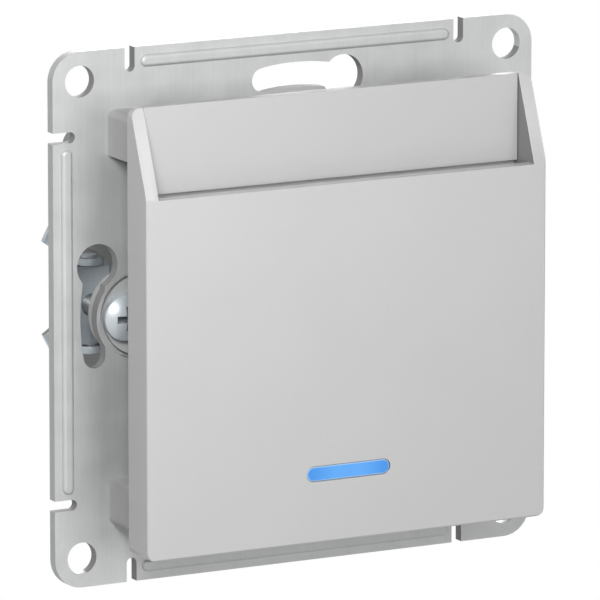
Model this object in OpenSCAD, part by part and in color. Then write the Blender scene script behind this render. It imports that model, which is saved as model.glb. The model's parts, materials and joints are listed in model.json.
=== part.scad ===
// Flush-mounted hotel key card switch, in millimetres.
// The origin is the centre of the mounting plate's back face: X right, Y into the wall, Z up.

/* [Mounting plate] */
// Side of the square mounting plate
plate_size = 71; // [70:0.5:74]
// Thickness of the plate
plate_t = 1.5; // [1:0.1:2]
// Distance from the plate's edges to a corner hole's centre, and the radius of the corner
corner_inset = 3.9; // [3.5:0.1:4.4]
// Diameter of the corner holes
corner_hole_d = 4.2; // [3.2:0.1:4.6]
// Distance of the edge notches from the plate's centre lines
notch_offset = 24.35; // [23.5:0.05:26]
// Width of the edge notches
notch_w = 1.45; // [1:0.05:2]
// Depth of the edge notches
notch_depth = 3.2; // [2:0.1:3.6]
// Width of the raised stiffening beads
bead_w = 1.6; // [1:0.1:1.8]
// Height of the beads above the plate
bead_h = 0.5; // [0.3:0.1:0.8]
// Distance from the plate's edge to the middle of a bead
bead_inset = 1.9; // [1.5:0.1:2.2]
// Distance from the end of a bead to the next notch
bead_gap = 0.8; // [0.5:0.1:2]

/* [Keyhole slots and screw bays] */
// Pitch circle of the wall box's fixing screws
box_screw_pcd = 60; // [59:0.5:61]
// Width of the curved part of a keyhole slot
slot_w = 3.3; // [3:0.1:3.6]
// Diameter of the round end of a keyhole slot
slot_head_d = 5.9; // [5.4:0.1:6.4]
// Angle from the plate's centre line to the round end
slot_head_angle = 13.6; // [12:0.2:15]
// Angle from the plate's centre line to the narrow end
slot_tail_angle = 9.3; // [7:0.1:11]
// Distance of a screw bay's centre from the housing's side
bay_x = 2.4; // [2:0.1:3]
// Radius of a screw bay
bay_r = 5.8; // [5.4:0.1:6]
// Width of the rim left standing between a bay and its keyhole slot
bay_rim = 0.5; // [0.4:0.1:1.4]

/* [Body] */
// Width of the square body that a decorative frame's opening fits over
body_w = 55.1; // [54.6:0.1:55.6]
// Radius of the body's corners
body_r = 1; // [0.8:0.1:2.5]
// Length of a corner leg along the body's sides
leg_len = 6; // [5:0.1:6.1]
// Space between the plate and the cover's lip, taken up by a decorative frame
frame_gap = 9.3; // [8.8:0.1:10.5]
// Thickness of the carrier's ring
ring_t = 2; // [1.8:0.1:2.6]
// Distance of the carrier's screw posts from the vertical centre line
post_x = 12; // [11.5:0.1:12.5]
// Radius of the carrier's screw posts
post_r = 2.4; // [2.2:0.1:2.6]
// Distance of the screw posts from the body's edge
post_edge = 0.75; // [0.5:0.05:1]

/* [Cover] */
// Side of the square cover
cover_w = 58.9; // [58.4:0.1:60]
// Radius of the cover's corners
cover_r = 1.3; // [0.8:0.1:2]
// Thickness of the cover's side walls
cover_wall = 1.8; // [1.5:0.1:2]
// Thickness of the front panel
panel_t = 1.8; // [1.6:0.1:2.4]
// Chamfer along the cover's front edges
cover_chamfer = 0.2; // [0.1:0.1:0.8]
// Height of the slanted card mouth above the front panel
mouth_h = 11.45; // [10:0.05:13]
// Height of the cover's top rim above its lip, front to back
mouth_step = 1.03; // [0.8:0.01:1.4]
// Clear space between the front panel and the card guide
card_gap = 2.63; // [2.4:0.01:3]
// Depth of the card pocket below the front panel's top edge
pocket_depth = 34.3; // [33.5:0.1:34.6]
// Thickness of the pocket's floor
floor_t = 1.4; // [1:0.1:1.5]
// Thickness of the card guide
guide_t = 1.5; // [1.2:0.1:2]
// Radius of the cover's two fixing pegs
peg_r = 1.5; // [1.2:0.1:1.6]

/* [Lit window] */
// Distance of the window's middle below the pocket's floor
window_drop = 2.55; // [2.2:0.05:4]
// Width of the window
window_w = 12.4; // [10:0.1:14]
// Height of the window
window_h = 2.1; // [1.7:0.1:2.4]
// Depth of the light guide's face below the panel's front
window_recess = 0.05; // [0:0.05:0.4]
// Radius of the lamp's dome
lamp_r = 1.5; // [1.2:0.1:1.6]
// Length of the lamp
lamp_len = 4.7; // [4:0.1:5]

/* [Housing] */
// Side of the square rear housing
housing_w = 41.2; // [40.8:0.1:41.6]
// Thickness of the housing's walls
housing_wall = 1.8; // [1.6:0.1:1.9]
// Radius of the housing's outer corners
housing_r = 3; // [2:0.1:3.5]
// Depth of the housing behind the plate's back face
housing_depth = 24; // [23.5:0.1:26]
// Thickness of the rear cover
rear_cover_t = 2; // [1.6:0.1:2.6]
// Thickness of the housing's front flanges
flange_t = 1.8; // [1.5:0.1:2.2]
// Height of the housing's front flanges past the carrier screws' axes
flange_h = 2.4; // [2:0.1:2.6]
// Thickness of the claw screws' ears behind the plate
ear_t = 2.2; // [1.8:0.1:2.4]
// Radius of the boss that a rear cover screw goes into
boss_r = 2.4; // [2.1:0.1:2.6]

/* [Circuit board] */
// Distance of the board's front face behind the plate's back face
board_y = 2; // [1.6:0.1:2.4]
// Thickness of the board
board_t = 1.6; // [1:0.1:2]
// Width of the relay
relay_w = 19; // [17:0.5:20]
// Height of the relay
relay_h = 15.5; // [14:0.5:16]
// Depth of the relay
relay_d = 15; // [12:0.5:17]
// Radius of the smoothing capacitor
can_r = 4; // [3:0.1:4.2]
// Length of the smoothing capacitor
can_len = 11.5; // [8:0.5:14]

/* [Card lever and switch] */
// Width of the card lever
lever_w = 10; // [9:0.2:12]
// Width of the lever's nose
nose_w = 8; // [6:0.2:8.6]
// Height of the lever's pivot above the centre
pivot_z = 5; // [4.6:0.1:5.4]
// Distance from the pivot down to the nose's tip
nose_drop = 15.3; // [15:0.1:15.8]
// Radius of the pivot pin
pin_r = 1; // [0.8:0.05:1.2]
// Radius of the lever's pivot boss
pivot_r = 2.2; // [2:0.05:2.3]
// Thickness of the lever's arm
arm_t = 1.8; // [1.5:0.1:2]
// Height of the switch body above the board
switch_h = 5.9; // [5.6:0.1:6.1]
// Width of the switch body
switch_w = 5.8; // [5:0.1:6.6]
// Length of the switch body
switch_len = 12.8; // [11:0.1:13.5]
// Radius of the switch's plunger
plunger_r = 0.9; // [0.7:0.05:1.1]
// Height of the released plunger above the switch body
plunger_out = 1.5; // [1.4:0.05:1.7]
// Thickness of the return spring's wire
spring_wire = 0.45; // [0.35:0.05:0.55]
// Middle radius of the return spring
spring_r = 1.8; // [1.7:0.05:2]
// Curls in the return spring
spring_turns = 6; // [4:1:7]

/* [Claws] */
// Distance of a claw screw's axis from its bay's centre
claw_x = 2.4; // [2.2:0.1:2.6]
// Radius of a claw screw's shaft
claw_screw_r = 1.5; // [1.3:0.05:1.6]
// Length of a claw screw's shaft
claw_screw_len = 17; // [15:0.5:18]
// Radius of a claw screw's head
claw_head_r = 3.05; // [2.8:0.05:3.1]
// Height of a claw screw's head
claw_head_h = 2; // [1.6:0.1:2.4]
// Distance of a claw's pivot behind the plate's back face
claw_y = 8.5; // [8.3:0.1:10]
// Thickness of a claw nut
nut_t = 2; // [1.8:0.1:2.4]
// Width of a claw nut
nut_w = 5; // [4.4:0.1:5.2]
// Distance of a claw's inner faces from its middle
claw_half = 5.4; // [5.2:0.1:5.6]
// Thickness of a claw's sheet
claw_sheet = 0.9; // [0.7:0.1:1]
// Distance from a claw's pivot to its back
claw_reach = 12.4; // [11.5:0.1:13.5]
// Distance that a claw's prongs stand out past its arms
prong_h = 2.4; // [1.5:0.1:3]

/* [Terminals] */
// Distance between neighbouring terminals
terminal_pitch = 9; // [8.8:0.1:9.2]
// Distance of the terminal screws in front of the rear cover
terminal_inset = 5; // [4.6:0.1:5.6]
// Radius of a terminal screw's shaft
terminal_screw_r = 1.5; // [1.2:0.05:1.6]
// Radius of a terminal screw's head
terminal_head_r = 2.4; // [2.1:0.05:2.5]
// Width of a terminal's rising cage
cage_w = 6.4; // [6:0.1:6.6]
// Depth of a terminal's rising cage
cage_d = 7; // [6:0.1:7.4]
// Travel of the cage from open to clamped shut
cage_travel = 3; // [2.5:0.1:3.1]
// Clear height above the busbar for a wire, with the cage open
wire_gap = 3.6; // [3.2:0.1:4]
// Radius of the wire entries in the rear cover
wire_entry_r = 1.9; // [1.6:0.05:2.1]

/* [Fits] */
// Radial clearance of a shaft that turns or slides in a hole
running_fit = 0.05; // [0.02:0.01:0.08]
// Clearance between neighbouring pieces
part_gap = 0.2; // [0.1:0.05:0.25]
// Clearance between the card guide and the cover's side walls
guide_gap = 0.08; // [0.05:0.01:0.2]

/* [Hidden] */
$fn = 64;
overcut = 1;
// Front to back stack
plate_front = -plate_t;
lip_y = plate_front - frame_gap;
guide_front = lip_y - mouth_step;
panel_back = guide_front - card_gap;
cover_front = panel_back - panel_t;
guide_back = guide_front + guide_t;
ring_back = guide_back + ring_t;
rim_y = plate_front - flange_t;
board_back = board_y + board_t;
// Plate
corner_hole_x = plate_size / 2 - corner_inset;
bead_len = 2 * (notch_offset - notch_w / 2 - bead_gap);
slot_r = box_screw_pcd / 2;
slot_tail_step = 0.05;
slot_tail_r = slot_w / 2 - slot_tail_step;
bay_centre = housing_w / 2 + bay_x;
// Cover and card pocket
cover_in = cover_w / 2 - cover_wall;
cover_top = cover_w / 2;
crest_z = cover_top - mouth_h;
floor_z = crest_z - pocket_depth;
guide_half = cover_in - guide_gap;
lead_in_depth = 0.8;
lead_in_h = 2.4;
lead_in_drop = 0.1;
window_z = floor_z - floor_t - window_drop;
light_flange_t = 1;
light_flange_margin = 1;
stem_w = 8;
stem_h = 1.8;
lamp_gap = 0.4;
lamp_rim = 0.4;
lamp_rim_t = 1;
lead_w = 0.5;
lead_x = 1.27;
lead_drop = 0.25;
// Carrier
post_z = body_w / 2 - post_edge - post_r;
ring_margin = 0.6;
ring_open = post_z - post_r - ring_margin;
stem_clear = 0.6;
peg_x = (post_x + post_r + body_w / 2 - leg_len) / 2;
peg_socket_gap = 0.2;
carrier_screw_r = 1.25;
carrier_head_r = 2.1;
carrier_head_h = 1.5;
carrier_seat = 0.3;
stake_r = 1.2;
stake_x = body_w / 2 - leg_len / 2;
// Housing
housing_in = housing_w / 2 - housing_wall;
board_half = housing_in - part_gap;
boss_x = housing_in - boss_r;
rear_screw_r = 1.2;
rear_head_r = 2.2;
rear_head_h = 1.4;
rear_screw_len = 12;
rear_screw_tip = 1;
flange_margin = 1;
ledge_w = 1.8;
ledge_y = 12;
clip_t = 0.8;
clip_w = 8;
clip_reach = 0.9;
bay_gap = 0.1;
ear_step = 0.5;
ear_link_inset = 0.8;
ear_r = bay_r - bay_gap;
ear_face_r = ear_r - ear_step;
ear_groove = 0.8;
ear_half = ear_r - ear_link_inset;
// Card lever
pivot_y = guide_back + part_gap + pivot_r;
arm_offset = 1.1;
arm_front = pivot_y - arm_offset;
arm_back = arm_front + arm_t;
groove_depth = 0.84;
nose_gap = 0.3;
nose_y = panel_back - groove_depth + nose_gap;
nose_z = pivot_z - nose_drop;
nose_tip = 0.5;
nose_ramp = 7.8;
nose_heel = 1.8;
nose_top = nose_z + nose_tip + nose_ramp;
nose_bottom = nose_z - nose_tip - nose_heel;
nose_clear = 0.6;
ear_gap = 0.3;
guide_ear_t = 2;
guide_ear_x = lever_w / 2 + ear_gap;
// Switch
switch_front = board_y - switch_h;
plunger_tip = switch_front - plunger_out;
plunger_len = 3.4;
plunger_stroke = 1.7;
plunger_drop = 6;
plunger_z = pivot_z - plunger_drop;
plunger_offset = 4.2;
pad_r = 1;
pad_w = 3;
pad_gap = 0.1;
pad_y = plunger_tip - pad_gap - pad_r;
// Return spring
spring_offset = 0.2;
spring_z = nose_z - spring_offset;
seat_t = 0.8;
seat_margin = 0.35;
seat_r = spring_r + spring_wire + seat_margin;
seat_peg_len = 2;
lever_peg_len = 1.5;
spring_peg_gap = 0.4;
spring_peg_r = spring_r - spring_wire / 2 - spring_peg_gap;
seat_stub_r = 0.9;
spring_end = board_y - seat_t;
spring_clear = 0.05;
spring_len = spring_end - arm_back - 2 * spring_clear - spring_wire;
spring_sides = 6;
spring_rings = 8;
spring_step = 0.1;
// Board parts
film_size = [10, 10.5, 5.5];
film_r = 1;
film_edge = 1.1;
film_x = board_half - film_edge - film_size[0] / 2;
film_z = -2.6;
relay_gap = 2;
relay_x = film_x - film_size[0] / 2 - relay_gap - relay_w / 2;
relay_z = boss_x - boss_r - part_gap - relay_h / 2;
relay_foot = 0.6;
relay_foot_w = 1.6;
relay_foot_inset = 1;
board_r = 1;
can_shift = 1;
can_gap = 3.85;
can_x = film_x - can_shift;
can_z = film_z + film_size[2] / 2 + can_gap + can_r;
can_seal = 0.8;
can_seal_inset = 0.5;
can_groove_r = 0.4;
can_groove_y = 2;
resistor_r = 1.1;
resistor_len = 6;
resistor_gap = 1.8;
resistor_spread = 5;
resistor_shift = 0.5;
resistor_z = relay_z - relay_h / 2 - resistor_gap - resistor_r;
resistor_x = relay_x - resistor_shift;
resistor_lift = 0.5;
resistor_lead = 1;
wire_r = 0.3;
// Claws
claw_axis = bay_centre + claw_x;
claw_outer = 2.6;
claw_inner = 2.4;
claw_tail_outer = 0.4;
claw_tail_inner = 2.8;
claw_eye_r = 2;
claw_web_start = 2.5;
claw_web_end = 5.1;
trunnion_r = nut_t / 2;
trunnion_end = 0.3;
trunnion_len = claw_sheet + trunnion_end;
nut_half = claw_half - part_gap;
prong_tip = 0.9;
prong_out = 0.9;
head_gap = 0.05;
dome_ratio = 1.5;
recess_w_ratio = 0.3;
recess_len_ratio = 1.1;
recess_depth_ratio = 0.55;
// Terminals
terminal_count = 4;
terminal_y = housing_depth - terminal_inset;
terminal_head_h = 1.7;
terminal_head_gap = 0.1;
terminal_head_top = terminal_head_gap - housing_in;
cage_wall = 0.9;
cage_base_t = 1.5;
cage_roof_t = 1.2;
cage_gap = 0.15;
cage_rest = terminal_head_top + cage_gap + cage_travel;
bus_gap = 0.2;
bus_t = 0.8;
bus_side_gap = 0.3;
bus_w = cage_w - 2 * (cage_wall + bus_side_gap);
bus_under = cage_rest + cage_base_t + bus_gap;
bus_top = bus_under + bus_t;
bus_end_gap = 0.3;
bus_end = terminal_y + cage_d / 2 - bus_end_gap;
bus_foot_h = 3;
cage_inside_top = bus_top + wire_gap;
wire_z = bus_top + wire_gap / 2;
divider_t = 1.6;
divider_rise = 2.2;
divider_front = 1;
driver_gap = 0.3;
lug_w = 1.8;
lug_gap = 0.3;
lug_len = terminal_inset - cage_d / 2 - lug_gap;

// Shared shapes

// Flat outline seen from the front, given a depth towards the front
module upright(y_back, depth) {
    translate([0, y_back, 0])
        rotate([90, 0, 0])
            linear_extrude(depth)
                children();
}

// Outline seen from the right side, given a width about the middle
module across(width) {
    translate([-width / 2, 0, 0])
        rotate([90, 0, 90])
            linear_extrude(width)
                children();
}

// Round bar along Y, from its back end to the front
module rod(x, z, y_back, depth, r) {
    translate([x, y_back, z])
        rotate([90, 0, 0])
            cylinder(h = depth, r = r);
}

// Round bar along X, about the middle
module axle(y, z, width, r) {
    translate([0, y, z])
        rotate([0, 90, 0])
            cylinder(h = width, r = r, center = true);
}

// Box between two corners
module block(low, high) {
    translate(low)
        cube(high - low);
}

module rounded_square(w, h, r) {
    square([w - 2 * r, h], center = true);
    square([w, h - 2 * r], center = true);
    for (x = [-1, 1], z = [-1, 1])
        translate([x * (w / 2 - r), z * (h / 2 - r)])
            circle(r);
}

module capsule(w, h) {
    square([w - h, h], center = true);
    for (x = [-1, 1])
        translate([x * (w - h) / 2, 0])
            circle(h / 2);
}

// Copies at the four signs of a point
module at_corners(x, z) {
    for (i = [-1, 1], j = [-1, 1])
        translate([i * x, j * z])
            children();
}

// Domed screw head with a cross recess, standing on z = 0 and facing +Z
module screw_head(r, h) {
    recess_w = r * recess_w_ratio;
    recess_len = r * recess_len_ratio;
    recess_depth = h * recess_depth_ratio;
    dome_r = r * dome_ratio;
    difference() {
        intersection() {
            cylinder(h = h, r = r);
            translate([0, 0, h - dome_r])
                sphere(dome_r);
        }
        for (turn = [0, 90])
            rotate([0, 0, turn])
                translate([-recess_len / 2, -recess_w / 2, h - recess_depth])
                    cube([recess_len, recess_w, h]);
    }
}

// Screw with its head towards the front and the head's seat at y = seat
module front_screw(x, z, seat, head_r, head_h, shaft_r, shaft_len) {
    rod(x, z, seat + shaft_len, shaft_len, shaft_r);
    translate([x, seat, z])
        rotate([90, 0, 0])
            screw_head(head_r, head_h);
}

// Mounting plate

module keyhole_slot() {
    reach = plate_size;
    tail = slot_tail_angle;
    head = slot_head_angle;
    intersection() {
        difference() {
            circle(slot_r + slot_w / 2);
            circle(slot_r - slot_w / 2);
        }
        polygon([[0, 0], [-reach * sin(tail), reach * cos(tail)], [reach * sin(head), reach * cos(head)]]);
    }
    rotate(tail)
        translate([0, slot_r])
            circle(slot_tail_r);
    rotate(-head)
        translate([0, slot_r])
            circle(slot_head_d / 2);
}

module bay_outline(r) {
    for (side = [-1, 1])
        translate([side * bay_centre, 0])
            circle(r);
}

module edge_notch() {
    depth_to_round = notch_depth - notch_w / 2;
    for (side = [-1, 1])
        translate([side * notch_offset, plate_size / 2 - depth_to_round]) {
            circle(notch_w / 2);
            translate([-notch_w / 2, 0])
                square([notch_w, depth_to_round + overcut]);
        }
}

module plate_openings() {
    opening = housing_w + 2 * part_gap;
    rounded_square(opening, opening, housing_r + part_gap);
    bay_outline(bay_r);
    at_corners(corner_hole_x, corner_hole_x)
        circle(corner_hole_d / 2);
    at_corners(post_x, post_z)
        circle(carrier_screw_r + running_fit);
    for (turn = [0, 90, 180, 270])
        rotate(turn)
            edge_notch();
    for (turn = [0, 180])
        rotate(turn)
            keyhole_slot();
    difference() {
        for (turn = [90, 270])
            rotate(turn)
                keyhole_slot();
        bay_outline(bay_r + bay_rim);
    }
}

module mounting_plate() {
    color("lightgray")
        difference() {
            union() {
                upright(0, plate_t)
                    rounded_square(plate_size, plate_size, corner_inset);
                upright(plate_front, bead_h)
                    for (turn = [0, 90, 180, 270])
                        rotate(turn)
                            translate([0, plate_size / 2 - bead_inset])
                                capsule(bead_len, bead_w);
            }
            upright(overcut, plate_t + bead_h + 2 * overcut)
                plate_openings();
        }
}

// Housing and rear cover

module claw_ear_outline(r) {
    for (side = [-1, 1]) {
        translate([side * bay_centre, 0])
            circle(r);
        translate([side * (bay_centre + housing_in) / 2, 0])
            square([bay_centre - housing_in, 2 * min(ear_half, r)], center = true);
    }
}

module housing_solid() {
    upright(housing_depth, housing_depth - rim_y)
        rounded_square(housing_w, housing_w, housing_r);
    flange_half = post_x + post_r + flange_margin;
    flange_low = housing_w / 2 - housing_wall;
    flange_high = post_z + flange_h;
    upright(plate_front, flange_t)
        for (side = [-1, 1])
            translate([0, side * (flange_low + flange_high) / 2])
                square([2 * flange_half, flange_high - flange_low], center = true);
    upright(ear_t, ear_t - plate_front - ear_groove)
        claw_ear_outline(ear_r);
    upright(ear_t, ear_t - plate_front)
        claw_ear_outline(ear_face_r);
}

module housing_inside() {
    for (side = [-1, 1]) {
        rod(side * boss_x, boss_x, housing_depth, housing_depth - board_back, boss_r);
        block([side > 0 ? boss_x : -housing_in, board_back, boss_x],
              [side > 0 ? housing_in : -boss_x, housing_depth, housing_in]);
        block([side > 0 ? housing_in - ledge_w : -housing_in, board_back, -housing_in],
              [side > 0 ? housing_in : ledge_w - housing_in, ledge_y, ledge_w - housing_in]);
        block([side > 0 ? housing_in - clip_reach : -housing_in, board_y - clip_t, -clip_w / 2],
              [side > 0 ? housing_in : clip_reach - housing_in, board_y, clip_w / 2]);
    }
    for (i = [1:terminal_count - 1])
        translate([terminal_pitch * (i - terminal_count / 2), 0, 0])
            block([-divider_t / 2, terminal_y - cage_d / 2 - divider_front, -housing_in],
                  [divider_t / 2, housing_depth, cage_inside_top + divider_rise]);
}

module housing() {
    color("gainsboro")
        difference() {
            union() {
                difference() {
                    housing_solid();
                    upright(housing_depth + overcut, housing_depth - rim_y + 2 * overcut)
                        rounded_square(2 * housing_in, 2 * housing_in, housing_r - housing_wall);
                }
                housing_inside();
            }
            for (side = [-1, 1]) {
                rod(side * boss_x, boss_x, housing_depth + overcut, rear_screw_len + overcut,
                    rear_screw_r + running_fit);
                rod(side * claw_axis, 0, ear_t + overcut, ear_t - plate_front + 2 * overcut,
                    claw_screw_r + running_fit);
                for (z = [-post_z, post_z])
                    rod(side * post_x, z, 0, overcut - rim_y, carrier_screw_r + running_fit);
            }
            for (i = [0:terminal_count - 1])
                translate([terminal_x(i), terminal_y, -housing_w / 2 - overcut])
                    cylinder(h = housing_wall + 2 * overcut, r = terminal_head_r + driver_gap);
        }
}

module rear_cover() {
    lug_x = housing_in - part_gap;
    lug_z = lug_x - housing_r + housing_wall;
    color("gainsboro") {
        difference() {
            upright(housing_depth + rear_cover_t, rear_cover_t)
                rounded_square(housing_w, housing_w, housing_r);
            for (i = [0:terminal_count - 1])
                rod(terminal_x(i), wire_z, housing_depth + rear_cover_t + overcut,
                    rear_cover_t + 2 * overcut, wire_entry_r);
            for (side = [-1, 1])
                rod(side * boss_x, boss_x, housing_depth + rear_cover_t + overcut,
                    rear_cover_t + 2 * overcut, rear_screw_r + running_fit);
        }
        for (side = [-1, 1])
            block([side > 0 ? lug_x - lug_w : -lug_x, housing_depth - lug_len, -lug_z],
                  [side > 0 ? lug_x : lug_w - lug_x, housing_depth, lug_w - lug_z]);
    }
}

module rear_cover_screws() {
    seat = housing_depth + rear_cover_t;
    color("silver")
        for (side = [-1, 1]) {
            rod(side * boss_x, boss_x, seat, rear_cover_t + rear_screw_len - rear_screw_tip, rear_screw_r);
            translate([side * boss_x, seat, boss_x])
                rotate([-90, 0, 0])
                    screw_head(rear_head_r, rear_head_h);
        }
}

// Carrier under the cover

module leg_outline() {
    intersection() {
        rounded_square(body_w, body_w, body_r);
        at_corners(body_w / 2 - leg_len / 2, body_w / 2 - leg_len / 2)
            square(leg_len, center = true);
    }
}

module carrier_frame() {
    seat_y = ring_back - carrier_seat;
    color("silver")
        difference() {
            union() {
                upright(ring_back, ring_t)
                    difference() {
                        rounded_square(body_w, body_w, body_r);
                        rounded_square(2 * ring_open, 2 * ring_open, body_r);
                    }
                upright(plate_front, plate_front - guide_back)
                    leg_outline();
                upright(rim_y, rim_y - ring_back)
                    at_corners(post_x, post_z)
                        circle(post_r);
            }
            upright(rim_y + overcut, rim_y - guide_back + 2 * overcut)
                at_corners(post_x, post_z)
                    circle(carrier_screw_r + running_fit);
            upright(seat_y, seat_y - guide_back + overcut)
                at_corners(post_x, post_z)
                    circle(carrier_head_r + part_gap);
            upright(ring_back + overcut, ring_t + 2 * overcut)
                for (side = [-1, 1])
                    translate([side * peg_x, -post_z])
                        circle(peg_r + peg_socket_gap);
            upright(ring_back + overcut, ring_t + 2 * overcut)
                translate([0, window_z])
                    square([stem_w + 2 * stem_clear, 2 * (lamp_r + stem_clear)], center = true);
            upright(plate_front + overcut, flange_t + part_gap + overcut)
                rounded_square(housing_w + 2 * part_gap, housing_w + 2 * part_gap, housing_r + part_gap);
            upright(ring_back, ring_t + overcut)
                at_corners(stake_x, stake_x)
                    circle(stake_r + running_fit);
        }
}

module carrier_screws() {
    seat_y = ring_back - carrier_seat;
    shaft = -part_gap - seat_y;
    color("silver")
        for (x = [-post_x, post_x], z = [-post_z, post_z])
            front_screw(x, z, seat_y, carrier_head_r, carrier_head_h, carrier_screw_r, shaft);
}

// Card pocket

module guide_ears() {
    for (side = [-1, 1])
        translate([side * (guide_ear_x + guide_ear_t / 2), 0, 0])
            difference() {
                union() {
                    axle(pivot_y, pivot_z, guide_ear_t, pivot_r);
                    block([-guide_ear_t / 2, guide_back, pivot_z - pivot_r],
                          [guide_ear_t / 2, pivot_y, pivot_z + pivot_r]);
                }
                axle(pivot_y, pivot_z, guide_ear_t + overcut, pin_r + running_fit / 2);
            }
}

module card_guide() {
    window_half = nose_w / 2 + nose_clear;
    color("silver") {
        difference() {
            block([-guide_half, guide_front, -guide_half], [guide_half, guide_back, cover_top]);
            block([-window_half, guide_front - overcut, nose_bottom - nose_clear],
                  [window_half, guide_back + overcut, nose_top - nose_clear]);
            block([-stem_w / 2 - stem_clear, guide_front - overcut, window_z - stem_h / 2 - stem_clear],
                  [stem_w / 2 + stem_clear, guide_back + overcut, window_z + stem_h / 2 + stem_clear]);
            block([-cover_in, guide_front - overcut, crest_z - lead_in_drop - lead_in_h],
                  [cover_in, guide_front + lead_in_depth, crest_z - lead_in_drop]);
            for (side = [-1, 1])
                rod(side * peg_x, -post_z, guide_back + overcut, guide_t + 2 * overcut, peg_r + running_fit);
        }
        block([-guide_half, panel_back + part_gap, floor_z - floor_t], [guide_half, guide_front, floor_z]);
        upright(ring_back - part_gap, ring_t - part_gap)
            at_corners(stake_x, stake_x)
                circle(stake_r);
        guide_ears();
    }
}

// Side outline of the cover: bottom edge, front panel, crest, slanted mouth and lip
module cover_side() {
    polygon([
        [lip_y, -cover_top],
        [cover_front + cover_chamfer, -cover_top],
        [cover_front, cover_chamfer - cover_top],
        [cover_front, crest_z],
        [guide_front, cover_top],
        [lip_y, cover_top]
    ]);
}

// Outline of the cover seen from above
module cover_plan() {
    polygon([
        [-cover_w / 2, lip_y],
        [cover_w / 2, lip_y],
        [cover_w / 2, cover_front + cover_chamfer],
        [cover_w / 2 - cover_chamfer, cover_front],
        [cover_chamfer - cover_w / 2, cover_front],
        [-cover_w / 2, cover_front + cover_chamfer]
    ]);
}

module front_cover() {
    groove_half = nose_w / 2 + nose_clear;
    color("silver") {
        difference() {
            intersection() {
                upright(lip_y, lip_y - cover_front)
                    rounded_square(cover_w, cover_w, cover_r);
                across(cover_w)
                    cover_side();
                translate([0, 0, -cover_top])
                    linear_extrude(cover_w)
                        cover_plan();
            }
            block([-cover_in, panel_back, -cover_in], [cover_in, lip_y + overcut, cover_top + overcut]);
            block([-cover_in, cover_front - overcut, crest_z], [cover_in, lip_y, cover_top + overcut]);
            upright(panel_back + overcut, panel_t + 2 * overcut)
                translate([0, window_z])
                    capsule(window_w, window_h);
            block([-groove_half, panel_back - groove_depth, nose_z - nose_tip - nose_clear],
                  [groove_half, panel_back + overcut, nose_z + nose_tip + 2 * nose_clear]);
        }
        for (side = [-1, 1])
            rod(side * peg_x, -post_z, ring_back - part_gap, ring_back - part_gap - panel_back, peg_r);
    }
}

module light_guide() {
    flange_back = panel_back + light_flange_t;
    lamp_tip = rim_y - lamp_len;
    color("deepskyblue")
        translate([0, 0, window_z]) {
            upright(panel_back, panel_t - window_recess)
                capsule(window_w - 2 * running_fit, window_h - 2 * running_fit);
            upright(flange_back, light_flange_t)
                capsule(window_w + 2 * light_flange_margin, window_h + 2 * light_flange_margin);
            upright(lamp_tip - lamp_gap, lamp_tip - lamp_gap - flange_back)
                square([stem_w, stem_h], center = true);
        }
}

module lamp() {
    lead_z = lead_w - housing_in + lead_drop;
    lead_low = min(window_z, lead_z - lead_w);
    lead_high = max(window_z, lead_z);
    color("aliceblue") {
        rod(0, window_z, rim_y, lamp_rim_t, lamp_r + lamp_rim);
        rod(0, window_z, rim_y, lamp_len - lamp_r, lamp_r);
        translate([0, rim_y - lamp_len + lamp_r, window_z])
            sphere(lamp_r);
    }
    color("silver")
        for (x = [-lead_x, lead_x]) {
            block([x - lead_w / 2, rim_y - lead_w, lead_low],
                  [x + lead_w / 2, rim_y, lead_high]);
            block([x - lead_w / 2, rim_y - lead_w, lead_z - lead_w],
                  [x + lead_w / 2, board_y, lead_z]);
        }
}

// Circuit board and what is on it

module circuit_board() {
    color("seagreen")
        difference() {
            upright(board_back, board_t)
                rounded_square(2 * board_half, 2 * board_half, board_r);
            rod(0, spring_z, board_back + overcut, board_t + 2 * overcut, seat_stub_r);
        }
}

module relay() {
    color("royalblue")
        translate([relay_x, board_back, relay_z]) {
            block([-relay_w / 2, relay_foot, -relay_h / 2], [relay_w / 2, relay_d, relay_h / 2]);
            rotate([-90, 0, 0])
                linear_extrude(relay_foot)
                    at_corners(relay_w / 2 - relay_foot_inset, relay_h / 2 - relay_foot_inset)
                        square(relay_foot_w, center = true);
        }
}

module smoothing_capacitor() {
    color("darkslateblue")
        difference() {
            union() {
                rod(can_x, can_z, board_back + can_len, can_len - can_seal, can_r);
                rod(can_x, can_z, board_back + can_seal, can_seal, can_r - can_seal_inset);
            }
            translate([can_x, board_back + can_groove_y, can_z])
                rotate([90, 0, 0])
                    rotate_extrude()
                        translate([can_r, 0])
                            circle(can_groove_r);
        }
}

module film_capacitor() {
    color("goldenrod")
        upright(board_back + film_size[1], film_size[1])
            translate([film_x, film_z])
                rounded_square(film_size[0], film_size[2], film_r);
}

module resistors() {
    centre_y = board_back + resistor_r + resistor_lift;
    color("tan")
        for (x = [resistor_x - resistor_spread, resistor_x + resistor_spread])
            translate([x, centre_y, resistor_z]) {
                rotate([0, 90, 0])
                    cylinder(h = resistor_len, r = resistor_r, center = true);
                rotate([0, 90, 0])
                    cylinder(h = resistor_len + 2 * resistor_lead, r = wire_r, center = true);
                for (end = [-1, 1])
                    translate([end * (resistor_len / 2 + resistor_lead - wire_r), 0, 0])
                        rotate([90, 0, 0])
                            cylinder(h = centre_y - board_back, r = wire_r);
            }
}

module switch_body() {
    low_z = plunger_z - plunger_offset;
    color("dimgray")
        difference() {
            block([-switch_w / 2, switch_front, low_z], [switch_w / 2, board_y, low_z + switch_len]);
            rod(0, plunger_z, plunger_tip + plunger_len + plunger_stroke,
                plunger_len + plunger_stroke, plunger_r + running_fit);
        }
}

module switch_plunger() {
    color("firebrick")
        rod(0, plunger_z, plunger_tip + plunger_len, plunger_len, plunger_r);
}

// Card lever

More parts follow.
